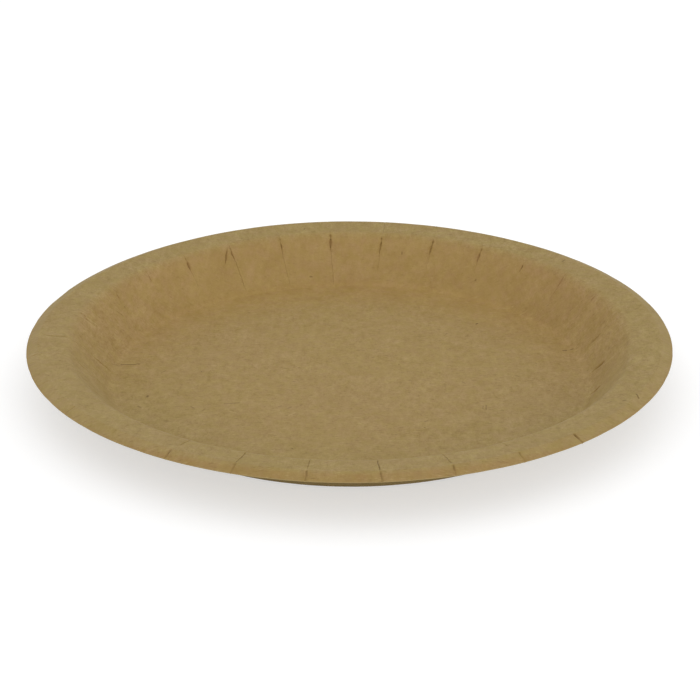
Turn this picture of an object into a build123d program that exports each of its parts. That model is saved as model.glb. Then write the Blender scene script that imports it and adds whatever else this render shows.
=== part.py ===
from build123d import *
from math import cos, radians, sin, tan
import os

# A round paper plate, pressed and crimped in one stroke from a single disc of kraft board.
# Millimetres and degrees. +Z is up and the origin is the middle of the floor's underside.

# Section of the plate, measured on its top face between the corners of the bends
plate_diameter = 230.0
board_thickness = 0.45
well_depth = 17.0
wall_angle = 51.0
rim_width = 10.5
rim_rise_angle = 6.0
lip_width = 3.9
lip_drop_angle = 24.0

# Rounded bends of the top face; the lip turns down at a sharp crease, the crest
foot_radius = 4.0
shoulder_radius = 4.0

# Pleats: each is a fold that is shut at the wall's foot and gapes most at the shoulder
pleat_count = 30
pleat_flank_angle = 50.0
pleat_foot_gap = 0.2
pleat_shoulder_depth = 0.65
pleat_rim_depth = 0.25

# How far a cut runs past what it cuts
overrun = 3.0

# Corners of the section, as radius and height
wall_slope = tan(radians(wall_angle))
rim_slope = tan(radians(rim_rise_angle))
lip_slope = tan(radians(lip_drop_angle))

edge_radius = plate_diameter / 2
crest_radius = edge_radius - lip_width
shoulder_corner_radius = crest_radius - rim_width
foot_corner_radius = shoulder_corner_radius - well_depth / wall_slope

floor_level = board_thickness
shoulder_level = floor_level + well_depth
crest_level = shoulder_level + rim_width * rim_slope
edge_level = crest_level - lip_width * lip_slope

edge = (edge_radius, edge_level)
past_edge = (edge_radius + overrun, edge_level - overrun * lip_slope)
bend_corners = [
    (0, floor_level),
    (foot_corner_radius, floor_level),
    (shoulder_corner_radius, shoulder_level),
    (crest_radius, crest_level),
]
bend_radii = [foot_radius, shoulder_radius, 0]

# Side view of the space in a pleat: up the wall, under the shoulder, along the rim and over the lip
foot_bend_height = foot_radius * (1 - cos(radians(wall_angle)))
shoulder_half_turn = radians((wall_angle - rim_rise_angle) / 2)
shoulder_tilt = radians((wall_angle + rim_rise_angle) / 2)
shoulder_bend_drop = shoulder_radius * (1 / cos(shoulder_half_turn) - 1)
pleat_drop = shoulder_bend_drop + pleat_shoulder_depth

pleat_foot_radius = foot_corner_radius + foot_bend_height / wall_slope
pleat_end_radius = edge_radius + overrun
pleat_ceiling = crest_level + overrun
pleat_outline = [
    (pleat_foot_radius, floor_level + foot_bend_height + pleat_foot_gap),
    (
        shoulder_corner_radius + pleat_drop * sin(shoulder_tilt),
        shoulder_level - pleat_drop * cos(shoulder_tilt),
    ),
    (crest_radius, crest_level - pleat_rim_depth),
    (pleat_end_radius, edge_level - overrun * lip_slope - pleat_rim_depth),
    (pleat_end_radius, pleat_ceiling),
    (pleat_foot_radius, pleat_ceiling),
]

# Half the width over which a pleat's flanks rise clear of the board's two faces
flank_slope = tan(radians(pleat_flank_angle))
groove_half_width = pleat_drop / flank_slope
ridge_half_width = (pleat_drop + board_thickness) / flank_slope
pleat_pitch = 360 / pleat_count


# The space below the board round one pleat, which stands out into it as a ridge
with BuildPart() as underneath:
    with BuildSketch(Plane.XZ.rotated((0, 0, -pleat_pitch))):
        with BuildLine():
            top_face = FilletPolyline(*bend_corners, past_edge, radius=bend_radii, mode=Mode.PRIVATE)
            underside = offset(top_face, amount=board_thickness, side=Side.RIGHT, closed=False)
            outer_end = underside.vertices().sort_by(Axis.X)[-1]
            Polyline(outer_end, (outer_end.X, -2 * overrun), (0, -2 * overrun), (0, 0))
        make_face()
    revolve(axis=Axis.Z, revolution_arc=2 * pleat_pitch)
    with BuildSketch(Plane.XZ):
        with BuildLine():
            Polyline(*pleat_outline, close=True)
        make_face()
        offset(amount=board_thickness, kind=Kind.INTERSECTION)
    extrude(amount=ridge_half_width, both=True, taper=pleat_flank_angle, mode=Mode.SUBTRACT)

# One segment of the plate: the board between two pitch lines, with the pleat's groove in its top
with BuildPart() as segment:
    with BuildSketch(Plane.XZ.rotated((0, 0, -pleat_pitch / 2))):
        with BuildLine():
            FilletPolyline(*bend_corners, edge, radius=bend_radii)
            cut_edge = PolarLine(edge, overrun, -90 - lip_drop_angle)
            Polyline(cut_edge @ 1, ((cut_edge @ 1).X, -overrun), (0, -overrun), (0, floor_level))
        make_face()
    revolve(axis=Axis.Z, revolution_arc=pleat_pitch)
    with BuildSketch(Plane.XZ):
        with BuildLine():
            Polyline(*pleat_outline, close=True)
        make_face()
    extrude(amount=groove_half_width, both=True, taper=pleat_flank_angle, mode=Mode.SUBTRACT)
    add(underneath.part, mode=Mode.SUBTRACT)

with BuildPart() as plate:
    with PolarLocations(0, pleat_count):
        add(segment.part)

os.makedirs("parts", exist_ok=True)
plate.part.label = "plate"
export_step(plate.part, "parts/plate.step")
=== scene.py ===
from functools import partial, reduce
from math import cos, pi, radians, sin, tan
from random import Random
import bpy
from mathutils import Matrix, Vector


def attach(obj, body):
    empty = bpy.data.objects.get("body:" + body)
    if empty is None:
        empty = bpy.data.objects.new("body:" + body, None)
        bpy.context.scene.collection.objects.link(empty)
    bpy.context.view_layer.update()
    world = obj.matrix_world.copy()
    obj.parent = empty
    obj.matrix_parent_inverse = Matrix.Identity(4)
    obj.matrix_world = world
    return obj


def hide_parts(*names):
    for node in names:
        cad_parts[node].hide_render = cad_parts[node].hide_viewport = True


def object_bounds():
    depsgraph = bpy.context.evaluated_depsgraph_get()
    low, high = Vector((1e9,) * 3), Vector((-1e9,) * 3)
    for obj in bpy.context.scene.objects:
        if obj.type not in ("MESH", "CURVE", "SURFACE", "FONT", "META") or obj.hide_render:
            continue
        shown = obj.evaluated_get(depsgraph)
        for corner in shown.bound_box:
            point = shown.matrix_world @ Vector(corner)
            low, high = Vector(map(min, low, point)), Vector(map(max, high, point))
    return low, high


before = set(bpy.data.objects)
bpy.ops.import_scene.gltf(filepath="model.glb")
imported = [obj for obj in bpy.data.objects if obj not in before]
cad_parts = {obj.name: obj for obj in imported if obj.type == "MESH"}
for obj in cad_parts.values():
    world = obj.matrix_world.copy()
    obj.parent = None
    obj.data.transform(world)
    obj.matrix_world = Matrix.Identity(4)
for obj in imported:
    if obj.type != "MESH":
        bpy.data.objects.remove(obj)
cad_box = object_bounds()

from types import SimpleNamespace

import bpy
import numpy as np
from bpy.props import FloatProperty, FloatVectorProperty, IntProperty, PointerProperty
from mathutils import Euler, Vector

bl_info = {
    "name": "Kraft Paper Plate",
    "version": (1, 0, 0),
    "blender": (4, 5, 0),
    "location": "3D View > Sidebar > Paper Plate",
    "description": "Presses a pleated paper plate from a disc of kraft board, in a white studio",
    "category": "Add Mesh",
}

MM = 0.001
IMAGE_SIDE = 700
WHITE = (1, 1, 1, 1)

# Rows of the mesh along each stretch of the section, from the middle of the floor to the cut edge
FLOOR_RING_SHARES = (0.14, 0.34, 0.56, 0.76, 0.91)
FOOT_ROWS = 6
WALL_ROWS = 22
SHOULDER_ROWS = 8
RIM_ROWS = 8
CREST_ROWS = 5
LIP_ROWS = 5

# How strongly the rows of the wall crowd towards its top, where the slits are; 1 is even
WALL_CROWDING = 1.6

# Columns of the mesh beside each fold, in millimetres along the shoulder,
# and the share of the gap up to the next fold that they may fill
COLUMN_OFFSETS = (0, 0.07, 0.15, 0.24, 0.34, 0.46, 0.62, 0.85, 1.3, 2.2, 4.0, 7.0)
COLUMN_GAP_SHARE = 0.55

# Board that moves sideways as one with a fold: its half width in millimetres, and the share of the
# gap to the next fold that it may fill
HELD_WIDTH = 1.3
HELD_GAP_SHARE = 0.3

# How far the middle of the cut edge stands out, against the board's thickness
EDGE_BULGE_SHARE = 0.12

# The pleats that differ from the common run, by the angle in degrees at which they stand.
# gape: opening of the slit against the widest one
# length: length of the slit against the common one
# peak: share of the wall, from its top, where the slit gapes most
# knot: small second opening above the slit, against the slit
# reach: share of the wall, from its top, where the fine line under the slit ends
# line: strength of that line
# rim, lip: strength of the crease across the rim, and of the tick on the lip
# gap: distance from the crest, in millimetres, at which the crease ends
# shift: how far the fold's top lies from its regular place, in millimetres, counter-clockwise from above
# lean: how much further that way its foot lies
# ridge: height of the ridge that the fold makes on the underside, against the common one
# FAR and NEAR are what most pleats have alike at the back and the sides, and at the front.
FAR = dict(rim=0.10, lip=0.10, lean=0.0)
NEAR = dict(peak=0.12, reach=0.50, lean=0.0)
PLEATS = {
    180: dict(FAR, gape=0.60, length=1.7, peak=0.70, knot=0.0, reach=0.95,
              rim=1.70, gap=1.5, shift=5.9, lean=-4.6),
    168: dict(FAR, gape=0.30, length=0.8, peak=0.05, knot=0.5, reach=0.10, shift=5.0, lean=2.0),
    156: dict(FAR, gape=0.32, length=0.7, peak=0.12, knot=0.0, reach=0.10, shift=-0.2),
    144: dict(FAR, gape=0.48, length=0.7, peak=0.10, knot=0.3, reach=0.15, rim=0.15),
    132: dict(FAR, gape=1.00, peak=0.12, knot=0.3, reach=0.60, line=1.2, rim=0.15, shift=0.5, lean=-0.8),
    120: dict(FAR, gape=0.60, length=0.9, peak=0.12, knot=0.7, reach=0.90, line=1.9, shift=0.5, lean=-1.2),
    108: dict(FAR, gape=0.58, peak=0.11, knot=0.7, reach=1.00, line=1.3, rim=0.30, shift=-0.1, lean=-0.6),
    96: dict(FAR, gape=1.00, length=1.1, peak=0.10, knot=0.9, reach=1.00, line=1.4,
             rim=0.20, shift=0.1, lean=-0.2),
    84: dict(FAR, gape=0.73, length=1.4, peak=0.16, knot=0.9, reach=0.70, line=1.2,
             rim=0.55, lip=0.30, lean=1.2),
    72: dict(FAR, gape=0.74, length=1.25, peak=0.13, knot=0.9, reach=0.60, rim=0.15, lean=0.4),
    60: dict(FAR, gape=0.80, length=1.2, peak=0.13, knot=0.9, reach=0.40, shift=-0.3),
    48: dict(FAR, gape=0.58, length=0.8, peak=0.12, knot=0.2, reach=0.20, lean=0.2),
    36: dict(FAR, gape=0.34, length=1.2, peak=0.08, knot=0.6, reach=0.50, shift=-0.4),
    24: dict(FAR, gape=0.34, length=0.9, peak=0.06, knot=0.3, reach=0.10, shift=-0.7),
    12: dict(FAR, gape=0.46, length=1.3, peak=0.62, knot=0.0, reach=0.70, shift=-1.8, lean=3.0),
    0: dict(FAR, gape=1.40, length=1.5, peak=0.76, knot=0.0, reach=0.95, shift=-1.5, lean=3.1),
    348: dict(FAR, gape=0.86, length=1.2, peak=0.86, knot=0.0, reach=1.00, shift=-0.4, lean=2.5),
    336: dict(NEAR, gape=0.30, peak=0.30, knot=0.3, reach=0.40, rim=0.10, lip=0.15),
    324: dict(NEAR, gape=0.40, knot=0.3, rim=0.12, lip=0.20),
    312: dict(NEAR, gape=0.50, knot=0.3, rim=0.08, lip=1.65, shift=-0.1),
    300: dict(NEAR, gape=0.60, knot=0.4, rim=0.55, lip=0.68, gap=5.5),
    288: dict(NEAR, gape=0.60, knot=0.4, rim=0.90, lip=0.85, gap=1.4),
    276: dict(NEAR, gape=0.70, knot=0.4, reach=0.60, rim=1.25, lip=1.00, gap=0.3),
    264: dict(NEAR, gape=0.70, knot=0.4, reach=0.60, rim=0.85, lip=0.88, gap=0.9),
    252: dict(NEAR, gape=0.60, knot=0.4, rim=1.15, lip=0.65, gap=0.3),
    240: dict(NEAR, gape=0.50, knot=0.4, rim=0.75, lip=0.85, gap=4.0, shift=0.4),
}

# A second, shorter fold beside one pleat, which leans away from it
SIDE_FOLD_ANGLE = 120
SIDE_FOLD = dict(gape=0.80, length=1.4, peak=0.12, knot=0.0, reach=0.25,
                 rim=0.0, lip=0.0, shift=1.7, lean=10.0, ridge=0.0)

# Traits of a common pleat: those that are the same in all, and the ranges of those that are drawn
COMMON_TRAITS = dict(length=1.0, line=1.0, shift=0.0, ridge=1.0)
DRAWN_TRAITS = dict(
    gape=(0.3, 0.6),
    peak=(0.08, 0.3),
    knot=(0.0, 0.6),
    reach=(0.4, 0.9),
    rim=(0.1, 0.3),
    lip=(0.1, 0.5),
    gap=(0.5, 2.0),
    lean=(-0.5, 0.5),
)

# Shares of the wall over which the fine line under a slit sets in and dies away
LINE_START_SHARE = 0.3
LINE_END_SHARE = 0.1

# What a tick loses of its depth down to the cut edge, and how much it is browned against a slit
TICK_FADE_SHARE = 0.5
TICK_SCORCH_SHARE = 0.5

# Strength from which a crease and a tick have their whole width
CREASE_WIDE_SHARE = 0.1
TICK_WIDE_SHARE = 0.3

# Place on the floor, as a share of the way to the wall, from which columns start to follow the folds
LEAN_START_SHARE = 0.6

# Waves along a fold, in its depth as a share and in its line in millimetres; each with its length
DEPTH_WAVES = ((0.22, 0.6), (0.16, 0.29))
LINE_WAVES = ((0.12, 3.1), (0.07, 1.1), (0.05, 0.45))

# Where the rim has sprung from its round: angle in degrees, outward and upward moves in millimetres,
# and how sharply the moves die away to both sides
RIM_WARPS = (
    (192, 1.6, 0.0),
    (150, -0.6, 0.0),
    (352, 0.3, 0.0),
    (108, 0.0, 0.4),
)
WARP_SHARPNESS = 4

# Single dark fibres and specks in the face of the board: place on the flat blank from its middle,
# turn in degrees, half length, half width and strength. Places and lengths are in millimetres.
STRAY_FIBRES = (
    ((-81.8, 8.0), 5, 3.3, 0.26, 0.75),
    ((-86.9, 6.0), 35, 2.4, 0.16, 0.35),
    ((-72.2, -19.5), 80, 0.5, 0.34, 0.62),
    ((-74.3, -28.0), -50, 0.9, 0.34, 0.32),
    ((47.5, 48.8), 60, 0.3, 0.34, 0.75),
    ((79.6, 24.0), 15, 0.6, 0.34, 0.65),
    ((82.4, 25.0), 15, 0.3, 0.34, 0.55),
    ((87.7, 75.7), 55, 0.8, 0.25, 0.60),
    ((-22.7, 110.8), 70, 0.5, 0.30, 0.45),
    ((-18.2, 88.8), 0, 0.3, 0.32, 0.45),
    ((19.6, 99.0), 80, 0.3, 0.30, 0.40),
    ((49.3, 80.5), 40, 0.3, 0.30, 0.45),
    ((104.6, -57.0), -79, 1.3, 0.26, 0.62),
    ((99.6, -60.6), 20, 0.4, 0.28, 0.50),
    ((94.0, -61.5), 34, 1.4, 0.16, 0.40),
    ((-41.9, -24.6), 12, 2.6, 0.28, 0.36),
    ((-55.3, -28.2), -57, 1.0, 0.26, 0.26),
    ((-51.5, -30.2), 61, 0.9, 0.26, 0.22),
    ((-24.6, -26.6), 44, 0.6, 0.28, 0.30),
    ((-21.2, -27.5), 45, 0.8, 0.30, 0.37),
    ((-17.0, -25.4), 47, 0.5, 0.28, 0.26),
    ((-20.5, -5.8), 0, 0.2, 0.34, 0.33),
    ((-68.8, 1.8), 58, 1.3, 0.24, 0.26),
    ((-63.1, -39.4), -19, 1.7, 0.22, 0.21),
    ((47.2, -26.0), 86, 1.4, 0.24, 0.31),
    ((48.3, -26.0), 85, 1.7, 0.24, 0.31),
    ((60.5, 1.0), -36, 0.7, 0.28, 0.26),
    ((40.9, -5.4), -48, 0.8, 0.28, 0.28),
    ((35.3, 38.3), 64, 1.1, 0.24, 0.24),
    ((43.4, 37.1), 50, 0.9, 0.24, 0.22),
    ((67.4, 12.8), -20, 0.9, 0.26, 0.24),
    ((48.9, -38.6), -25, 0.5, 0.30, 0.26),
    ((27.3, -37.1), 49, 0.8, 0.26, 0.24),
    ((-95.9, 8.3), 21, 1.4, 0.18, 0.26),
    ((-105.5, -5.9), 38, 1.7, 0.18, 0.26),
)

# Single pale fibres and scratches, written in the same way
PALE_FIBRES = (
    ((-102.2, 17.9), 15, 2.8, 0.18, 0.50),
    ((-102.3, 15.9), 19, 2.5, 0.18, 0.45),
    ((-108.6, 18.2), 19, 2.0, 0.18, 0.35),
    ((-40.8, -31.7), -24, 1.2, 0.30, 0.40),
    ((-20.1, -32.9), 44, 1.5, 0.25, 0.35),
    ((-46.0, -0.7), -26, 1.3, 0.25, 0.35),
    ((97.4, -2.6), -10, 3.0, 0.18, 0.45),
    ((94.7, 17.2), 0, 1.7, 0.18, 0.35),
)

# Where a fibre's blurred edge begins and ends, against its half width
FIBRE_EDGE_SHARES = (1.5, 0.5)

# Limits of the zones on the flat blank, in millimetres from its middle: to the far side, to the right
# and outwards. Each zone rises from 0 at its first limit to 1 at its second.
BACK_LIMITS = (-40, 70)
CALM_LIMITS = (20, 75)
NEAR_LIMITS = (20, -40)
FRONT_LIMITS = (-92, -120)
SIDE_SHADE_LIMITS = (15, 45)
RIGHT_LIMITS = (30, 85)
OUTER_LIMITS = (45, 80)

# Margins of the zones beside the bends of the section, in millimetres
WALL_FADE_IN = 20
WALL_MARGIN = 1
RIM_MARGIN = 2
# Band just under the shoulder that takes painted light
PAINTED_SHOULDER_LIGHT_MARGINS = (6, 1)
# Floor and bend at the wall's foot, which take a painted warm reflection
BEND_FADE_IN = (28, 14)
BEND_MARGIN = 1

# How much of the painted shade on the far right the floor takes, how much of the painted sheen on the rim
# the front keeps, and the bands of the painted warm shade on the near lip and of its stains
SIDE_SHADE_FLOOR_SHARE = 0.4
FRONT_RIM_SHEEN_SHARE = 0.75
NEAR_LIP_SHADE_BAND = (0.7, 1.2)
NEAR_LIP_SHADE_START_BAND = (0.0, 0.3)
STAIN_BAND = (0.42, 0.75)

# Noises in the board, per millimetre of the flat blank, and the stretch of those that have a direction
FINE_MOTTLE = dict(scale=0.42, detail=3.0, roughness=1.0)
BROAD_MOTTLE = dict(scale=0.1, detail=2.0, roughness=0.6)
WIDE_CLOUDS = dict(scale=0.02, detail=1.0)
SMALL_CLOUDS = dict(scale=0.24, detail=3.0, roughness=0.6)
QUIET_PATCHES = dict(scale=0.05)
STAIN_PATCHES = dict(scale=0.16, detail=2.0, roughness=0.7)
FIBRE_STREAKS = dict(scale=1.5, detail=1.0)
FIBRE_WAVES = dict(scale=0.35)
BOARD_GRAIN = dict(scale=1.6, detail=2.0, roughness=0.6)
MOTTLE_STRETCH = (1, 0.5, 1)
STAIN_STRETCH = (1, 0.4, 1)
STREAK_STRETCH = (0.22, 1, 1)
NOISE_MIDDLE = 0.5

# Contrast of the fine mottle on the floor and on the calm far wall, what other places add to it,
# and the range by which quiet patches change it
FLOOR_CONTRAST = 2.05
CALM_CONTRAST = 1.2
RIM_ADDS = 0.4
NEAR_WALL_ADDS = 0.5
LIP_ADDS = -1.2
QUIET_BAND = (0.35, 0.65)
QUIET_RANGE = (0.75, 1.2)

# Swing of the broad mottle in tone, and of the clouds in hue
BROAD_SWING = 0.75
WIDE_CLOUD_SWING = 1.8
SMALL_CLOUD_SWING = 4.2

# Streaks of fibres: their turns in radians, the bands of noise that show, and their strength on open
# board and on the calm far wall
STREAK_TURNS = (0.2, 1.05, 1.9, 2.75)
DARK_STREAK_BAND = (0.66, 0.76)
PALE_STREAK_BAND = (0.34, 0.24)
DARK_STREAK_STRENGTHS = (0.27, 0.15)
PALE_STREAK_STRENGTHS = (0.36, 0.20)

# Round specks: cells per millimetre, blurred edge against a cell, the draw that leaves most cells
# empty, and strength
SPECK_CELLS = 0.11
SPECK_BAND = (0.045, 0.02)
SPECK_DRAW_BAND = (0.80, 0.82)
SPECK_STRENGTH = 0.6

# Darkness in the folds, crushed fibre with painted shade, strength of the raw cut edge, and the board's
# relief, with its height in millimetres, and gloss
FOLD_FIBRE_AND_SHADE_START = 0.02
FOLD_FIBRE_AND_SHADE_STRENGTH = 0.36
CUT_STRENGTH = 0.85
GRAIN_SHARE = 0.5
RELIEF_STRENGTH = 0.35
RELIEF_HEIGHT = 0.05
ROUGHNESS_BAND = (0.3, 0.7)
ROUGHNESS_RANGE = (0.62, 0.74)
BOARD_IOR = 1.45
BOARD_SPECULAR = 0.38


def length_property(name, description, millimetres):
    """A length that the user can change."""
    return FloatProperty(
        name=name, description=description, default=millimetres * MM, unit="LENGTH", precision=5
    )


def angle_property(name, description, degrees):
    """An angle that the user can change."""
    return FloatProperty(name=name, description=description, default=radians(degrees), subtype="ANGLE")


def colour_property(name, description, red, green, blue):
    """A colour that the user can change, as linear values."""
    return FloatVectorProperty(
        name=name, description=description, subtype="COLOR", size=4, default=(red, green, blue, 1.0)
    )


class PlateSizes(bpy.types.PropertyGroup):
    """Section of the plate, as it is pressed."""

    diameter: FloatProperty(
        name="Diameter",
        description="Across the plate, over the cut edge",
        default=cad_box[1].x - cad_box[0].x,
        unit="LENGTH",
    )
    thickness: length_property("Board", "Thickness of the board", 0.45)
    well_depth: length_property("Well depth", "From the top of the floor up to the shoulder's corner", 17.0)
    wall_angle: angle_property("Wall slope", "Slope of the wall", 51.0)
    rim_width: length_property("Rim width", "From the shoulder to the crest", 10.5)
    rim_angle: angle_property("Rim rise", "Slope of the rim, outwards and up", 6.0)
    lip_width: length_property("Lip width", "From the crest to the cut edge", 3.9)
    lip_angle: angle_property("Lip drop", "Slope of the lip, outwards and down", 24.0)
    foot_radius: length_property("Foot bend", "Bend between floor and wall", 3.6)
    shoulder_radius: length_property("Shoulder bend", "Bend between wall and rim", 4.0)
    crest_radius: length_property("Crest bend", "Bend between rim and lip", 1.2)


class PleatSizes(bpy.types.PropertyGroup):
    """Folds that take up the board's spare length round the wall and the rim."""

    count: IntProperty(name="Pleats", description="Number of pleats round the plate", default=30, min=3)
    slit_depth: length_property("Slit depth", "Depth of the widest slit", 0.5)
    slit_gape: length_property("Slit gape", "Half the width of the widest slit", 0.75)
    slit_head: length_property("Slit head", "From a slit's widest place up to its end", 1.2)
    slit_tail: length_property("Slit tail", "From a slit's widest place down to its end", 2.2)
    knot_rise: length_property("Knot rise", "From a slit's widest place up to its knot", 2.6)
    knot_length: length_property("Knot length", "Half the length of a knot", 0.9)
    line_depth: length_property("Line depth", "Depth of the fine line that runs down from a slit", 0.1)
    line_gape: length_property("Line gape", "Half the width of the fine line", 0.17)
    crease_depth: length_property("Crease depth", "Depth of a crease across the rim", 0.26)
    crease_gape: length_property("Crease gape", "Half the width of a crease across the rim", 0.27)
    crease_end: length_property("Crease end", "Length over which a crease fades out", 0.8)
    tick_depth: length_property("Tick depth", "Depth of a tick on the lip", 0.38)
    tick_gape: length_property("Tick gape", "Half the width of a tick on the lip", 0.5)
    ridge_height: length_property("Ridge height", "How far a fold stands out of the underside", 0.6)
    ridge_gape: length_property("Ridge width", "Half the width of a ridge on the underside", 0.85)
    # Painted shade along the foot of a ridge on the underside
    seam_shade_gape: length_property("Seam width", "Half the width of the dark seam beside a ridge", 0.25)
    # Depth at which a fold's darkening, crushed fibre with painted shade, is whole
    fibre_and_shade_depth: length_property("Dark depth", "Depth from which a fold is wholly dark", 0.4)
    halo: length_property("Scorched halo", "Half the width of the browned board beside a slit", 0.9)
    lap: length_property("Lap", "Most that one side of a fold stands over the other", 0.08)
    lap_fade: length_property("Lap fade", "Distance over which the higher side comes down again", 2.5)
    seed: IntProperty(name="Seed", description="Seed of the small differences between pleats", default=7)


class KraftColours(bpy.types.PropertyGroup):
    """Colours of the unbleached board, and tints that paint light and shade onto it."""

    pale: colour_property("Pale pulp", "Board where the pulp lies thin", 0.3766, 0.263, 0.1009)
    dense: colour_property("Dense pulp", "Board where the pulp lies thick", 0.2614, 0.167, 0.0401)
    olive: colour_property("Olive tint", "Tint of the greener clouds", 0.994, 1.011, 0.930)
    rosy: colour_property("Rosy tint", "Tint of the redder clouds", 1.006, 0.989, 1.070)
    # Painted warm light on the far wall: brighter and redder
    wall: colour_property("Wall tint", "Tint of the far wall", 1.095, 1.05, 1.05)
    # Painted sheen on the rim: greyer and greener
    rim: colour_property("Rim tint", "Tint of the rim", 0.952, 0.985, 0.972)
    # Painted sheen on the rolled crest at the front: cooler and paler
    lip: colour_property("Lip tint", "Tint of the near lip", 0.975, 1.01, 1.06)
    # Painted shade on the near lip: warmer and darker
    near_lip_shade: colour_property("Brown tint", "Tint of the lip where it is browned", 0.985, 0.92, 0.895)
    # Painted light on the far wall just under the shoulder: paler and cooler
    shoulder: colour_property("Shoulder tint", "Tint of the rubbed board under the rim", 1.03, 1.03, 1.09)
    # Painted shade on the far right of the wall and on the floor beside it
    side: colour_property("Side tint", "Tint of the wall on the far right", 0.972, 0.945, 0.95)
    # Painted cool shade on the near floor and the near wall
    front: colour_property("Front tint", "Tint of the near floor and wall", 0.972, 1.002, 1.003)
    # Painted warm reflection of the far wall on the floor at its foot
    foot: colour_property("Foot tint", "Tint of the bend at the far wall's foot", 0.988, 0.97, 0.925)
    stain: colour_property("Stain tint", "Tint of the stained patches on the lip", 1.01, 0.97, 0.91)
    scorch: colour_property("Scorch tint", "Tint of the browned board beside a slit", 0.90, 0.83, 0.70)
    # This colour also paints the shade inside the folds and beside the underside's ridges
    fibre: colour_property("Dark fibre", "Dark fibres, specks and the inside of folds", 0.085, 0.035, 0.0)
    pale_fibre: colour_property("Pale fibre", "Pale fibres on the face of the board", 0.46, 0.34, 0.14)
    cut: colour_property("Cut edge", "Raw board at the cut edge", 0.40, 0.29, 0.12)


class StageSizes(bpy.types.PropertyGroup):
    """White floor, soft light and the camera."""

    floor_width: FloatProperty(name="Floor", description="Side of the floor", default=8.0, unit="LENGTH")
    floor_paint: FloatProperty(
        name="Floor paint", description="White of the floor as it lights the plate", default=0.8
    )
    seen_paint: FloatProperty(
        name="Seen paint", description="White of the floor as it takes the shadow", default=0.55
    )
    floor_glow: FloatProperty(
        name="Floor glow", description="Light that brings the seen floor up to white", default=0.55
    )
    sky: FloatProperty(name="Sky", description="Strength of the even light from all round", default=0.94)
    lamp: FloatProperty(name="Lamp", description="Power of the soft lamp", default=6.5, unit="POWER")
    lamp_width: FloatProperty(name="Lamp width", description="Across the lamp", default=1.6, unit="LENGTH")
    lamp_place: FloatVectorProperty(
        name="Lamp place",
        description="From the middle of the rim",
        default=(1.0, -1.8, 0.7),
        subtype="TRANSLATION",
    )
    camera_distance: length_property("Camera distance", "From the middle of the rim's plane", 757.0)
    camera_elevation: angle_property("Camera height angle", "Angle above the rim's plane", 23.5)
    camera_azimuth: angle_property("Camera turn", "Turn round the plate, to the right", 1.22)
    lens: FloatProperty(
        name="Lens", description="Focal length of the camera", default=107.67, subtype="DISTANCE_CAMERA"
    )
    aim_pixel_x: FloatProperty(
        name="Middle, across", description="Column of the image with the rim's middle", default=351.0
    )
    aim_pixel_y: FloatProperty(
        name="Middle, down", description="Row of the image with the rim's middle", default=330.0
    )


class Section:
    """Rows of the plate's top face from the middle of the floor to the cut edge.

    Each row has a radius, a height, a tilt, the distance along the board from the middle, and its
    place on the wall as a share from the wall's top.
    """

    def __init__(self, sizes):
        edge = sizes.diameter / 2
        crest = edge - sizes.lip_width
        shoulder = crest - sizes.rim_width
        foot = shoulder - sizes.well_depth / tan(sizes.wall_angle)
        floor_level = sizes.thickness
        shoulder_level = floor_level + sizes.well_depth
        crest_level = shoulder_level + sizes.rim_width * tan(sizes.rim_angle)
        edge_level = crest_level - sizes.lip_width * tan(sizes.lip_angle)
        tilts = (0.0, sizes.wall_angle, sizes.rim_angle, -sizes.lip_angle)
        corners = [(foot, floor_level), (shoulder, shoulder_level), (crest, crest_level)]
        radii = (sizes.foot_radius, sizes.shoulder_radius, sizes.crest_radius)
        bend_rows = (FOOT_ROWS, SHOULDER_ROWS, CREST_ROWS)
        run_rows = (0, WALL_ROWS, RIM_ROWS)
        crowding = (1.0, WALL_CROWDING, 1.0)

        bends = [
            self.bend(corner, radius, before, after, rows)
            for corner, radius, before, after, rows in zip(corners, radii, tilts, tilts[1:], bend_rows)
        ]
        floor_end = bends[0][0][0]
        points = [(floor_end * share, floor_level, 0.0) for share in FLOOR_RING_SHARES]
        marks = []
        for bend, rows, tilt, crowd in zip(bends, run_rows, tilts, crowding):
            points += self.run(points[-1], bend[0], tilt, rows, crowd)
            marks.append((len(points), len(points) + len(bend) - 1))
            points += bend
        points += self.run(points[-1], (edge, edge_level), tilts[-1], LIP_ROWS)
        points.append((edge, edge_level, tilts[-1]))

        self.shoulder = shoulder
        self.radius, self.height, self.tilt = np.array(points).T
        steps = np.hypot(np.diff(self.radius), np.diff(self.height))
        self.along = self.radius[0] + np.concatenate(([0.0], np.cumsum(steps)))
        (self.foot_start, self.foot_end), shoulder_ends, crest_ends = self.along[np.array(marks)]
        self.wall_end, self.shoulder_end = shoulder_ends
        self.shoulder_middle = shoulder_ends.mean()
        self.crest_start, self.crest_end = crest_ends
        self.crest_middle = crest_ends.mean()
        self.edge = self.along[-1]
        self.wall = self.wall_end - self.foot_end
        self.down = (self.wall_end - self.along) / self.wall

        wall_rows = range(marks[0][1] + 1, marks[1][0])
        self.under_rows = [row for row in range(len(points)) if row not in wall_rows[::2]]

    @staticmethod
    def bend(corner, radius, before, after, rows):
        """Rows round one bend, from its first tangent point to its last."""
        turn = after - before
        reach = radius * tan(abs(turn) / 2)
        side = 1 if turn > 0 else -1
        start = (corner[0] - reach * cos(before), corner[1] - reach * sin(before))
        rows_round = []
        for step in range(rows):
            tilt = before + turn * step / (rows - 1)
            across = start[0] + side * radius * (sin(tilt) - sin(before))
            up = start[1] - side * radius * (cos(tilt) - cos(before))
            rows_round.append((across, up, tilt))
        return rows_round

    @staticmethod
    def run(start, end, tilt, rows, crowd=1.0):
        """Rows between the ends of a straight stretch, without the ends themselves."""
        shares = [1 - (1 - step / (rows + 1)) ** crowd for step in range(1, rows + 1)]
        return [
            (start[0] + (end[0] - start[0]) * share, start[1] + (end[1] - start[1]) * share, tilt)
            for share in shares
        ]


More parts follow.
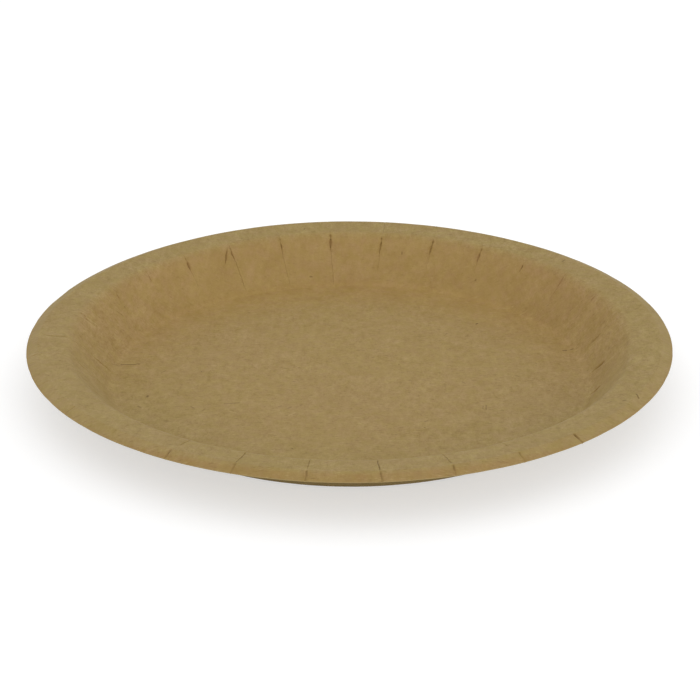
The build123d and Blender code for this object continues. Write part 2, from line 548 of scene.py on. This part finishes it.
def ramp(values, start, end):
    """Smooth rise from 0 at start to 1 at end."""
    share = np.clip((values - start) / (end - start), 0, 1)
    return share * share * (3 - 2 * share)


def waves(along, sizes, phases):
    """Sum of waves along the board, each with its height, its length in millimetres and its phase."""
    total = 0.0
    for (height, length), phase in zip(sizes, phases):
        total = total + height * np.sin(along / (length * MM) + phase)
    return total


def slit_opening(traits, pleats, section):
    """Opening of a slit and of the knot above it, against the widest slit."""
    below = (section.down - traits.peak) * section.wall
    span = traits.length * np.where(below < 0, pleats.slit_head, pleats.slit_tail)
    slit = np.exp(-((below / span) ** 2))
    knot = traits.knot * np.exp(-(((below + pleats.knot_rise) / pleats.knot_length) ** 2))
    return traits.gape * np.maximum(slit, knot)


def line_strength(traits, section):
    """Strength of the fine line that runs down the wall from a slit."""
    start = ramp(section.down, traits.peak - LINE_START_SHARE, traits.peak)
    return traits.line * start * ramp(section.down, traits.reach + LINE_END_SHARE, traits.reach)


def crease_strength(traits, pleats, section):
    """Strength of the crease across the rim, from the shoulder to its end."""
    start = ramp(section.along, section.shoulder_middle, section.shoulder_end)
    end = section.crest_middle - traits.gap * MM
    return traits.rim * start * ramp(section.along, end, end - pleats.crease_end)


def tick_strength(traits, section):
    """Strength of the tick on the lip, which weakens down to the cut edge."""
    start = ramp(section.along, section.crest_start, section.crest_end)
    return traits.lip * start * (1 - TICK_FADE_SHARE * ramp(section.along, section.crest_end, section.edge))


def ridge_strength(traits, section):
    """Height of the ridge on the underside: whole at the shoulder, nothing at the foot and the crest."""
    rise = ramp(section.along, section.foot_end, section.wall_end)
    return traits.ridge * rise * ramp(section.along, section.crest_start, section.shoulder_middle)


class Fold:
    """One fold of the board: its depth, half width, scorch, ridge and sideways line, row by row."""

    def __init__(self, angle, section, pleats, draw, known):
        drawn = {name: draw.uniform(*limits) for name, limits in DRAWN_TRAITS.items()}
        traits = SimpleNamespace(**{**COMMON_TRAITS, **drawn, **known})
        self.angle = angle + traits.shift * MM / section.shoulder
        self.lap = pleats.lap * draw.uniform(0, 1) * traits.rim
        self.lap_side = draw.choice((-1, 1))
        depth_phases = [draw.uniform(0, 2 * pi) for _ in DEPTH_WAVES]
        line_phases = [draw.uniform(0, 2 * pi) for _ in LINE_WAVES]

        slit = slit_opening(traits, pleats, section)
        line = line_strength(traits, section)
        crease = crease_strength(traits, pleats, section)
        tick = tick_strength(traits, section)
        depth = pleats.slit_depth * slit + pleats.line_depth * line
        depth = depth + pleats.crease_depth * crease + pleats.tick_depth * tick
        self.depth = depth * (1 + waves(section.along, DEPTH_WAVES, depth_phases))
        self.half_width = np.maximum.reduce((
            np.full_like(slit, pleats.line_gape),
            pleats.slit_gape * slit,
            pleats.crease_gape * ramp(crease, 0.0, CREASE_WIDE_SHARE),
            pleats.tick_gape * ramp(tick, 0.0, TICK_WIDE_SHARE),
        ))
        self.scorch = np.maximum(slit, TICK_SCORCH_SHARE * tick)
        self.ridge = ridge_strength(traits, section)

        lean = traits.lean * np.clip(section.down, 0, traits.reach + LINE_END_SHARE)
        wander = waves(section.along, LINE_WAVES, line_phases)
        loose = ramp(section.along, LEAN_START_SHARE * section.foot_end, section.foot_end)
        self.sideways = (lean + wander) * MM * loose

    def offset(self, radius):
        """Turn of the fold's line from its own angle, at each row."""
        return self.sideways / np.maximum(radius, MM)


def fold_list(section, pleats):
    """All folds of the plate in order of angle."""
    draw = Random(pleats.seed)
    pitch = 360 / pleats.count
    folds = []
    for index in range(pleats.count):
        degrees_round = index * pitch
        known = PLEATS.get(round(degrees_round), {})
        folds.append(Fold(radians(degrees_round), section, pleats, draw, known))
    folds.append(Fold(radians(SIDE_FOLD_ANGLE), section, pleats, draw, SIDE_FOLD))
    return sorted(folds, key=lambda fold: fold.angle)


def with_gaps(folds):
    """Each fold with its angle from the fold before it and its angle to the fold after it."""
    angles = [fold.angle for fold in folds]
    after = np.diff(angles + [angles[0] + 2 * pi])
    return list(zip(folds, np.roll(after, 1), after))


def column_angles(folds, shoulder):
    """Angles of the mesh columns, close together beside each fold."""
    angles = set()
    for fold, before, after in with_gaps(folds):
        for offset in COLUMN_OFFSETS:
            turn = offset * MM / shoulder
            if turn < COLUMN_GAP_SHARE * after:
                angles.add(fold.angle + turn)
            if turn < (1 - COLUMN_GAP_SHARE) * before:
                angles.add(fold.angle - turn)
    return np.array(sorted(angles))


def warped_angles(columns, folds, section):
    """Angle of every column at every row, bent sideways so that columns follow the folds' lines."""
    held = []
    for fold, before, after in with_gaps(folds):
        width = min(HELD_WIDTH * MM / section.shoulder, HELD_GAP_SHARE * after, HELD_GAP_SHARE * before)
        held += [fold.angle - width, fold.angle + width]
    offsets = np.array([fold.offset(section.radius) for fold in folds])
    turns = [np.interp(columns, held, np.repeat(row, 2), period=2 * pi) for row in offsets.T]
    return columns + np.array(turns)


def pressed_board(angles, folds, section, pleats):
    """What the folds do to the board at every row and column.

    push and ridge are how far the top face lies in and the underside stands out. inside, scorch and
    seam run from 0 to 1: depth in a fold, which darkens it with crushed fibre and painted shade, browning
    beside a slit, and painted shade beside a ridge.
    """
    push, inside, scorch, ridge, seam = np.zeros((5, *angles.shape))
    raised = ramp(section.along, section.foot_end, section.wall_end)[:, None]
    for fold in folds:
        line = fold.angle + fold.offset(section.radius)
        turn = (angles - line[:, None] + pi) % (2 * pi) - pi
        across = turn * section.radius[:, None]
        away = np.abs(across)
        share = np.clip(1 - away / fold.half_width[:, None], 0, 1)
        push += fold.depth[:, None] * share
        push -= fold.lap * raised * np.exp(-away / pleats.lap_fade) * (fold.lap_side * across > 0)
        inside = np.maximum(inside, share * np.clip(fold.depth / pleats.fibre_and_shade_depth, 0, 1)[:, None])
        scorch = np.maximum(scorch, fold.scorch[:, None] * np.exp(-((across / pleats.halo) ** 2)))
        beside = away - pleats.ridge_gape
        ridge = np.maximum(ridge, fold.ridge[:, None] * np.clip(-beside / pleats.ridge_gape, 0, 1))
        # Painted shade along the foot of each ridge
        seam = np.maximum(seam, fold.ridge[:, None] * np.exp(-((beside / pleats.seam_shade_gape) ** 2)))
    ridge = np.maximum(push, pleats.ridge_height * ridge)
    return SimpleNamespace(push=push, inside=inside, scorch=np.minimum(scorch, 1), ridge=ridge, seam=seam)


def sprung_rim(angles, section):
    """Outward and upward moves of the board where the rim has sprung from its round."""
    loose = ramp(section.along, section.foot_end, section.edge)[:, None]
    outward = np.zeros_like(angles)
    upward = np.zeros_like(angles)
    for degrees_round, out, up in RIM_WARPS:
        near = loose * np.clip(np.cos(angles - radians(degrees_round)), 0, 1) ** WARP_SHARPNESS
        outward += out * MM * near
        upward += up * MM * near
    return outward, upward


def ring_points(radius, around, height, middles):
    """Points of all rows one after the other, and then the middles of the two faces."""
    rings = np.stack((radius * np.cos(around), radius * np.sin(around), height), axis=-1)
    return np.vstack((rings.reshape(-1, 3), middles))


def ring_faces(rows, count):
    """Faces between neighbouring rows, and then the fans round the middles of the two faces."""
    column = np.arange(count)
    beside = (column + 1) % count
    faces = []
    for low in range(0, (rows - 1) * count, count):
        high = low + count
        faces += np.stack((low + column, high + column, high + beside, low + beside), axis=-1).tolist()
    top_middle = rows * count
    under_middle = top_middle + 1
    last = top_middle - count
    faces += np.stack((0 * column + top_middle, column, beside), axis=-1).tolist()
    faces += np.stack((0 * column + under_middle, last + beside, last + column), axis=-1).tolist()
    return faces


def sharpen_ring(mesh, first, count):
    """Make the ring of edges between a row's vertices a sharp corner."""
    ends = np.empty(2 * len(mesh.edges), dtype=int)
    mesh.edges.foreach_get("vertices", ends)
    within = (ends >= first) & (ends < first + count)
    for index in np.flatnonzero(within.reshape(-1, 2).all(axis=1)):
        mesh.edges[index].use_edge_sharp = True


def plate_mesh(sizes, pleats, section):
    """Mesh of the whole plate: top face, cut edge and underside, closed at the middle of both faces."""
    folds = fold_list(section, pleats)
    columns = column_angles(folds, section.shoulder)
    angles = warped_angles(columns, folds, section)
    board = pressed_board(angles, folds, section, pleats)
    outward, upward = sprung_rim(angles, section)

    tilt = section.tilt[:, None]
    top_radius = section.radius[:, None] + board.push * np.sin(tilt) + outward
    top_height = section.height[:, None] - board.push * np.cos(tilt) + upward
    under_radius = section.radius[:, None] + (board.ridge + sizes.thickness) * np.sin(tilt) + outward
    under_height = section.height[:, None] - (board.ridge + sizes.thickness) * np.cos(tilt) + upward
    bulge = EDGE_BULGE_SHARE * sizes.thickness
    edge_radius = (top_radius[-1:] + under_radius[-1:]) / 2 + bulge * np.cos(tilt[-1])
    edge_height = (top_height[-1:] + under_height[-1:]) / 2 + bulge * np.sin(tilt[-1])

    under = section.under_rows[::-1]
    clean = np.zeros_like(angles)
    radius = np.vstack((top_radius, edge_radius, under_radius[under]))
    height = np.vstack((top_height, edge_height, under_height[under]))
    around = np.vstack((angles, angles[-1:], angles[under]))
    along = np.concatenate((section.along, section.along[-1:], section.along[under]))[:, None]
    # Dark of the folds: crushed fibre with painted shade deep in them on the top face, and painted shade
    # beside the ridges underneath
    dark = np.vstack((board.inside, clean[-1:], board.seam[under]))
    scorch = np.vstack((board.scorch, clean[-1:], clean[under]))
    floor_top = section.height[0]
    middles = [[0, 0, floor_top], [0, 0, floor_top - sizes.thickness]]
    points = ring_points(radius, around, height, middles)
    blank = ring_points(along, around, 0 * around, np.zeros((2, 3))) / MM

    rows, count = radius.shape
    faces = ring_faces(rows, count)
    top_edge = len(section.along) - 1
    under_edge = top_edge + 2
    cut = np.zeros(len(faces))
    cut[top_edge * count:under_edge * count] = 1

    mesh = bpy.data.meshes.new("plate")
    mesh.from_pydata(points.tolist(), [], faces)
    mesh.update()
    mesh.attributes.new("blank", "FLOAT_VECTOR", "POINT").data.foreach_set("vector", blank.ravel())
    # The fold attribute carries that darkness: crushed fibre with painted shade
    mesh.attributes.new("fold", "FLOAT", "POINT").data.foreach_set("value", np.append(dark, (0, 0)))
    mesh.attributes.new("scorch", "FLOAT", "POINT").data.foreach_set("value", np.append(scorch, (0, 0)))
    mesh.attributes.new("cut", "FLOAT", "FACE").data.foreach_set("value", cut)
    mesh.polygons.foreach_set("use_smooth", [True] * len(mesh.polygons))
    sharpen_ring(mesh, top_edge * count, count)
    sharpen_ring(mesh, under_edge * count, count)
    return mesh


class Nodes:
    """Shorthand for building one node tree."""

    def __init__(self, tree):
        self.tree = tree
        tree.nodes.clear()

    def add(self, kind, inputs=None, **settings):
        """A node with its settings and its inputs, which are values or other nodes' sockets."""
        node = self.tree.nodes.new(kind)
        for name, value in settings.items():
            setattr(node, name, value)
        for key, value in (inputs or {}).items():
            if isinstance(value, bpy.types.NodeSocket):
                self.tree.links.new(value, node.inputs[key])
            else:
                node.inputs[key].default_value = value
        return node

    def attribute(self, name, output="Fac"):
        """Value that the mesh carries under that name."""
        return self.add("ShaderNodeAttribute", attribute_name=name).outputs[output]

    def math(self, operation, first, second=0.0, clamp=False):
        """Result of one math node."""
        node = self.add("ShaderNodeMath", {0: first, 1: second}, operation=operation, use_clamp=clamp)
        return node.outputs[0]

    def product(self, *factors):
        """All factors multiplied."""
        return reduce(partial(self.math, "MULTIPLY"), factors)

    def rest(self, share):
        """What the share leaves of 1."""
        return self.math("SUBTRACT", 1.0, share)

    def swing(self, noise, size):
        """Noise about zero, times a size."""
        return self.product(self.math("SUBTRACT", noise, NOISE_MIDDLE), size)

    def balance(self, first, second):
        """Share from 0 to 1 that two swings about its middle give."""
        return self.math("ADD", self.math("ADD", first, second), NOISE_MIDDLE, clamp=True)

    def mix(self, share, first, second, blend="MIX"):
        """Colour between two colours."""
        node = self.add("ShaderNodeMix", {0: share, 6: first, 7: second}, data_type="RGBA", blend_type=blend)
        return node.outputs[2]

    def tint(self, share, colour, tint):
        """Colour times a tint, as far as the share goes."""
        return self.mix(share, colour, tint, "MULTIPLY")

    def band(self, value, low, high, bottom=0.0, top=1.0):
        """Value carried from the band low..high to bottom..top, clamped."""
        return self.add("ShaderNodeMapRange", {0: value, 1: low, 2: high, 3: bottom, 4: top}).outputs[0]

    def noise(self, vector, scale, detail=2.0, roughness=0.5, output="Fac"):
        """Smooth noise, as a value or as a colour."""
        inputs = {"Vector": vector, "Scale": scale, "Detail": detail, "Roughness": roughness}
        return self.add("ShaderNodeTexNoise", inputs).outputs[output]

    def turned(self, vector, angle, scale, shift=(0, 0, 0)):
        """Coordinates scaled, turned by an angle and then shifted."""
        inputs = {"Vector": vector, "Location": shift, "Rotation": (0, 0, angle), "Scale": scale}
        return self.add("ShaderNodeMapping", inputs).outputs[0]


class Zones:
    """Where a point of the board lies on the flat blank, as shares from 0 to 1 of each zone."""

    def __init__(self, nodes, section):
        foot_start = section.foot_start / MM
        foot_end = section.foot_end / MM
        wall_end = section.wall_end / MM
        shoulder_middle = section.shoulder_middle / MM
        shoulder_end = section.shoulder_end / MM
        crest_end = section.crest_end / MM

        self.blank = nodes.attribute("blank", "Vector")
        place = nodes.add("ShaderNodeSeparateXYZ", {0: self.blank}).outputs
        reach = nodes.add("ShaderNodeVectorMath", {0: self.blank}, operation="LENGTH").outputs["Value"]
        rightward = partial(nodes.band, place[0])
        farward = partial(nodes.band, place[1])
        outward = partial(nodes.band, reach)

        self.back = farward(*BACK_LIMITS)
        self.near = farward(*NEAR_LIMITS)
        self.front = farward(*FRONT_LIMITS)
        # Far right of the well, which takes painted shade
        self.side = nodes.product(rightward(*RIGHT_LIMITS), farward(*SIDE_SHADE_LIMITS))
        # Outer floor, which takes painted cool shade at the front
        self.outer = outward(*OUTER_LIMITS)
        # Floor and bend at the wall's foot, which take a painted warm reflection
        self.bend = nodes.product(
            outward(foot_start - BEND_FADE_IN[0], foot_start - BEND_FADE_IN[1]),
            outward(foot_end + BEND_MARGIN, foot_end - BEND_MARGIN),
        )
        self.wall = nodes.product(
            outward(foot_start - WALL_FADE_IN, foot_end),
            outward(shoulder_end, wall_end - WALL_MARGIN),
        )
        self.calm = nodes.product(self.wall, farward(*CALM_LIMITS))
        # Band just under the shoulder, which takes painted light
        self.painted_shoulder_light = nodes.product(
            outward(wall_end - PAINTED_SHOULDER_LIGHT_MARGINS[0], wall_end - PAINTED_SHOULDER_LIGHT_MARGINS[1]),
            outward(shoulder_end, shoulder_middle),
        )
        self.rim = outward(wall_end - RIM_MARGIN, shoulder_end + RIM_MARGIN)
        self.crest = outward(section.crest_start / MM, crest_end)
        self.lip = outward(crest_end, section.edge / MM)


def mottle_contrast(nodes, zones):
    """Contrast of the fine mottle, low on the far wall and on the lip."""
    contrast = nodes.band(zones.calm, 0.0, 1.0, FLOOR_CONTRAST, CALM_CONTRAST)
    near_wall = nodes.math("SUBTRACT", zones.wall, zones.calm)
    for zone, adds in ((zones.rim, RIM_ADDS), (near_wall, NEAR_WALL_ADDS), (zones.crest, LIP_ADDS)):
        contrast = nodes.math("ADD", contrast, nodes.product(zone, adds))
    quiet = nodes.noise(zones.blank, **QUIET_PATCHES)
    return nodes.product(contrast, nodes.band(quiet, *QUIET_BAND, *QUIET_RANGE))


def pulp_colour(nodes, blank, fine, contrast, colours):
    """Mottled pulp from dense to pale, with greener and redder clouds."""
    broad = nodes.noise(blank, **BROAD_MOTTLE)
    tone = nodes.balance(nodes.swing(fine, contrast), nodes.swing(broad, BROAD_SWING))
    colour = nodes.mix(tone, colours.dense, colours.pale)
    wide = nodes.swing(nodes.noise(blank, **WIDE_CLOUDS), WIDE_CLOUD_SWING)
    small = nodes.swing(nodes.noise(blank, **SMALL_CLOUDS), SMALL_CLOUD_SWING)
    hue = nodes.mix(nodes.balance(wide, small), colours.olive, colours.rosy)
    return nodes.mix(1.0, colour, hue, "MULTIPLY")


def painted_light_and_stains(nodes, colour, zones, colours):
    """Painted light and shade by zone: warm light on the far wall, light under its shoulder, a warm
    reflection at its foot, shade on the far right and cool shade on the near floor, sheen on the rim and the
    near crest, warm shade on the near lip; and real stained patches on the near lip.
    """
    # Painted warm light on the far wall
    colour = nodes.tint(nodes.product(zones.wall, zones.back), colour, colours.wall)
    # Painted light just under the far shoulder
    colour = nodes.tint(nodes.product(zones.painted_shoulder_light, zones.back), colour, colours.shoulder)
    # Painted warm reflection of the far wall on the floor at its foot
    colour = nodes.tint(nodes.product(zones.bend, zones.back), colour, colours.foot)

    well = nodes.rest(zones.rim)
    # Painted shade on the far right of the wall and the floor
    side = nodes.product(zones.side, nodes.band(zones.wall, 0.0, 1.0, SIDE_SHADE_FLOOR_SHARE), well)
    colour = nodes.tint(side, colour, colours.side)
    # Painted cool shade on the near floor and wall
    colour = nodes.tint(nodes.product(zones.near, zones.outer, well), colour, colours.front)

    # Painted sheen on the rim, and on the rolled crest at the front
    rolled = nodes.product(zones.crest, zones.near)
    front_fade = nodes.band(zones.front, 0.0, 1.0, 1.0, FRONT_RIM_SHEEN_SHARE)
    colour = nodes.tint(nodes.product(zones.rim, nodes.rest(rolled), front_fade), colour, colours.rim)
    # Painted sheen on the rolled crest at the front
    colour = nodes.tint(rolled, colour, colours.lip)

    # Painted warm shade on the near lip, with real stained patches within it
    near_lip_shade = nodes.band(nodes.math("ADD", zones.lip, zones.front), *NEAR_LIP_SHADE_BAND)
    near_lip_shade = nodes.product(near_lip_shade, nodes.band(zones.lip, *NEAR_LIP_SHADE_START_BAND), zones.near)
    colour = nodes.tint(near_lip_shade, colour, colours.near_lip_shade)
    patches = nodes.noise(nodes.turned(zones.blank, 0, STAIN_STRETCH), **STAIN_PATCHES)
    return nodes.tint(nodes.product(nodes.band(patches, *STAIN_BAND), near_lip_shade), colour, colours.stain)


def fibre_streaks(nodes, colour, zones, colours):
    """Fine dark and pale fibres that lie every way."""
    dark = 0.0
    pale = 0.0
    for turn in STREAK_TURNS:
        streak = nodes.noise(nodes.turned(zones.blank, turn, STREAK_STRETCH), **FIBRE_STREAKS)
        dark = nodes.math("MAXIMUM", dark, nodes.band(streak, *DARK_STREAK_BAND))
        pale = nodes.math("MAXIMUM", pale, nodes.band(streak, *PALE_STREAK_BAND))
    dark = nodes.product(dark, nodes.band(zones.calm, 0.0, 1.0, *DARK_STREAK_STRENGTHS))
    pale = nodes.product(pale, nodes.band(zones.calm, 0.0, 1.0, *PALE_STREAK_STRENGTHS))
    colour = nodes.mix(dark, colour, colours.fibre)
    return nodes.mix(pale, colour, colours.pale_fibre)


def round_specks(nodes, colour, blank, colours):
    """Small round specks in a few of the cells that the board is divided into."""
    cells = nodes.add("ShaderNodeTexVoronoi", {"Vector": blank, "Scale": SPECK_CELLS}).outputs
    draw = nodes.add("ShaderNodeSeparateColor", {0: cells["Color"]}).outputs[0]
    speck = nodes.product(nodes.band(cells["Distance"], *SPECK_BAND), nodes.band(draw, *SPECK_DRAW_BAND))
    return nodes.mix(nodes.product(speck, SPECK_STRENGTH), colour, colours.fibre)


def single_fibres(nodes, colour, blank, fibres, fibre_colour):
    """The fibres and specks that show one by one, a little bent."""
    wave = nodes.noise(blank, **FIBRE_WAVES, output="Color")
    bent = nodes.add("ShaderNodeVectorMath", {0: blank, 1: wave}, operation="ADD").outputs[0]
    for (across, along), turn, half_length, half_width, strength in fibres:
        middle = Vector((across + NOISE_MIDDLE, along + NOISE_MIDDLE, 0))
        middle.rotate(Euler((0, 0, -radians(turn))))
        own = nodes.turned(bent, -radians(turn), (1, 1, 0), -middle)
        sides = nodes.add("ShaderNodeSeparateXYZ", {0: own}).outputs
        past = nodes.math("SUBTRACT", nodes.math("ABSOLUTE", sides[0]), half_length)
        past = nodes.math("MAXIMUM", past, 0.0)
        away = nodes.add("ShaderNodeCombineXYZ", {0: past, 1: sides[1]}).outputs[0]
        distance = nodes.add("ShaderNodeVectorMath", {0: away}, operation="LENGTH").outputs["Value"]
        outside, inside = (share * half_width for share in FIBRE_EDGE_SHARES)
        colour = nodes.mix(nodes.band(distance, outside, inside, 0.0, strength), colour, fibre_colour)
    return colour


def kraft_material(colours, section):
    """Unbleached board with fibres, painted light and shade by zone, folds darkened by crushed fibre and
    painted shade, and a raw cut edge.
    """
    material = bpy.data.materials.new("kraft_board")
    material.use_nodes = True
    nodes = Nodes(material.node_tree)
    zones = Zones(nodes, section)
    blank = zones.blank
    mottle = nodes.noise(nodes.turned(blank, 0, MOTTLE_STRETCH), **FINE_MOTTLE)
    colour = pulp_colour(nodes, blank, mottle, mottle_contrast(nodes, zones), colours)
    colour = painted_light_and_stains(nodes, colour, zones, colours)
    colour = fibre_streaks(nodes, colour, zones, colours)
    colour = round_specks(nodes, colour, blank, colours)
    colour = single_fibres(nodes, colour, blank, STRAY_FIBRES, colours.fibre)
    colour = single_fibres(nodes, colour, blank, PALE_FIBRES, colours.pale_fibre)
    colour = nodes.tint(nodes.attribute("scorch"), colour, colours.scorch)
    # Folds darken towards the dark fibre colour: crushed fibre with painted shade
    dark = nodes.band(nodes.attribute("fold"), FOLD_FIBRE_AND_SHADE_START, 1.0, 0.0, FOLD_FIBRE_AND_SHADE_STRENGTH)
    colour = nodes.mix(dark, colour, colours.fibre)
    colour = nodes.mix(nodes.product(nodes.attribute("cut"), CUT_STRENGTH), colour, colours.cut)

    grain = nodes.product(nodes.noise(blank, **BOARD_GRAIN), GRAIN_SHARE)
    relief = nodes.add("ShaderNodeBump", {
        "Strength": RELIEF_STRENGTH,
        "Distance": RELIEF_HEIGHT * MM,
        "Height": nodes.math("ADD", mottle, grain),
    })
    shader = nodes.add("ShaderNodeBsdfPrincipled", {
        "Base Color": colour,
        "Roughness": nodes.band(mottle, *ROUGHNESS_BAND, *ROUGHNESS_RANGE),
        "IOR": BOARD_IOR,
        "Specular IOR Level": BOARD_SPECULAR,
        "Normal": relief.outputs[0],
    })
    nodes.add("ShaderNodeOutputMaterial", {"Surface": shader.outputs[0]})
    return material


class PAPERPLATE_OT_press(bpy.types.Operator):
    """Press the plate with its pleats and give it the kraft finish"""

    bl_idname = "paperplate.press"
    bl_label = "Press Plate"

    def execute(self, context):
        scene = context.scene
        section = Section(scene.plate_sizes)
        mesh = plate_mesh(scene.plate_sizes, scene.plate_pleats, section)
        mesh.materials.append(kraft_material(scene.plate_colours, section))
        plate = bpy.data.objects.new("paper_plate", mesh)
        scene.collection.objects.link(plate)
        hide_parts("plate")
        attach(plate, "root")
        return {"FINISHED"}


def seen_ray(nodes):
    """1 for rays that show a surface to the eye, straight or through gloss and glass, and 0 for light."""
    path = nodes.add("ShaderNodeLightPath").outputs
    glossy = nodes.math("MAXIMUM", path["Is Camera Ray"], path["Is Glossy Ray"])
    return nodes.math("MAXIMUM", glossy, path["Is Transmission Ray"])


def white_floor(stage):
    """Wide white floor that keeps the plate's shadow."""
    half = stage.floor_width / 2
    corners = [(-half, -half, 0), (half, -half, 0), (half, half, 0), (-half, half, 0)]
    mesh = bpy.data.meshes.new("floor")
    mesh.from_pydata(corners, [], [(0, 1, 2, 3)])
    material = bpy.data.materials.new("white_floor")
    material.use_nodes = True
    nodes = Nodes(material.node_tree)
    seen = seen_ray(nodes)
    shade = nodes.band(seen, 0.0, 1.0, stage.floor_paint, stage.seen_paint)
    paint = nodes.add("ShaderNodeBsdfDiffuse", {"Color": shade})
    glow = nodes.add("ShaderNodeEmission", {"Strength": nodes.product(seen, stage.floor_glow)})
    both = nodes.add("ShaderNodeAddShader", {0: paint.outputs[0], 1: glow.outputs[0]})
    nodes.add("ShaderNodeOutputMaterial", {"Surface": both.outputs[0]})
    mesh.materials.append(material)
    return bpy.data.objects.new("floor", mesh)


def even_sky(strength):
    """World of even white light from all round, over a white background."""
    world = bpy.data.worlds.new("sky")
    world.use_nodes = True
    nodes = Nodes(world.node_tree)
    level = nodes.band(seen_ray(nodes), 0.0, 1.0, strength, 1.0)
    sky = nodes.add("ShaderNodeBackground", {"Color": WHITE, "Strength": level})
    nodes.add("ShaderNodeOutputWorld", {"Surface": sky.outputs[0]})
    return world


def soft_lamp(stage, middle):
    """Large round lamp that points at the middle of the rim."""
    light = bpy.data.lights.new("lamp", "AREA")
    light.energy = stage.lamp
    light.shape = "DISK"
    light.size = stage.lamp_width
    lamp = bpy.data.objects.new("lamp", light)
    lamp.location = middle + Vector(stage.lamp_place)
    lamp.rotation_euler = (middle - lamp.location).to_track_quat("-Z", "Y").to_euler()
    return lamp


def aimed_camera(stage, middle):
    """Camera that sees the middle of the rim at its pixel of the square image."""
    camera = bpy.data.cameras.new("camera")
    camera.sensor_fit = "HORIZONTAL"
    camera.lens = stage.lens
    pixels = stage.lens / camera.sensor_width * IMAGE_SIDE
    back = Vector((
        sin(stage.camera_azimuth) * cos(stage.camera_elevation),
        -cos(stage.camera_azimuth) * cos(stage.camera_elevation),
        sin(stage.camera_elevation),
    ))
    body = bpy.data.objects.new("camera", camera)
    body.location = middle + back * stage.camera_distance
    right = Vector((cos(stage.camera_azimuth), sin(stage.camera_azimuth), 0))
    up = back.cross(right)
    slope_x = (IMAGE_SIDE / 2 - stage.aim_pixel_x) / pixels
    slope_y = (stage.aim_pixel_y - IMAGE_SIDE / 2) / pixels
    sight = -back + right * slope_x + up * slope_y
    body.rotation_euler = sight.to_track_quat("-Z", "Y").to_euler()
    return body


class PAPERPLATE_OT_stage(bpy.types.Operator):
    """Lay the white floor, light it softly and set the camera"""

    bl_idname = "paperplate.stage"
    bl_label = "Set Stage"

    def execute(self, context):
        scene = context.scene
        stage = scene.plate_stage
        middle = Vector((0, 0, cad_box[1].z))
        floor = white_floor(stage)
        camera = aimed_camera(stage, middle)
        for item in (floor, soft_lamp(stage, middle), camera):
            scene.collection.objects.link(item)
        scene.world = even_sky(stage.sky)
        scene.camera = camera
        scene.view_settings.view_transform = "Standard"
        return {"FINISHED"}


class PAPERPLATE_PT_panel(bpy.types.Panel):
    """Sizes and colours of the paper plate"""

    bl_idname = "PAPERPLATE_PT_panel"
    bl_label = "Paper Plate"
    bl_space_type = "VIEW_3D"
    bl_region_type = "UI"
    bl_category = "Paper Plate"

    def draw(self, context):
        for setting in SETTINGS:
            group = getattr(context.scene, setting)
            box = self.layout.box()
            for name in group.bl_rna.properties.keys():
                if name not in ("rna_type", "name"):
                    box.prop(group, name)
        self.layout.operator(PAPERPLATE_OT_press.bl_idname)
        self.layout.operator(PAPERPLATE_OT_stage.bl_idname)


# The groups of settings, by the names that they have in a scene
SETTINGS = {
    "plate_sizes": PlateSizes,
    "plate_pleats": PleatSizes,
    "plate_colours": KraftColours,
    "plate_stage": StageSizes,
}
CLASSES = (*SETTINGS.values(), PAPERPLATE_OT_press, PAPERPLATE_OT_stage, PAPERPLATE_PT_panel)


def register():
    """Make the classes known to Blender and give every scene its settings."""
    for cls in CLASSES:
        bpy.utils.register_class(cls)
    for setting, group in SETTINGS.items():
        setattr(bpy.types.Scene, setting, PointerProperty(type=group))


def unregister():
    """Take the settings and the classes away again."""
    for setting in SETTINGS:
        delattr(bpy.types.Scene, setting)
    for cls in reversed(CLASSES):
        bpy.utils.unregister_class(cls)


def main():
    """Build everything."""
    register()
    bpy.ops.paperplate.press()
    bpy.ops.paperplate.stage()


if __name__ == "__main__":
    main()
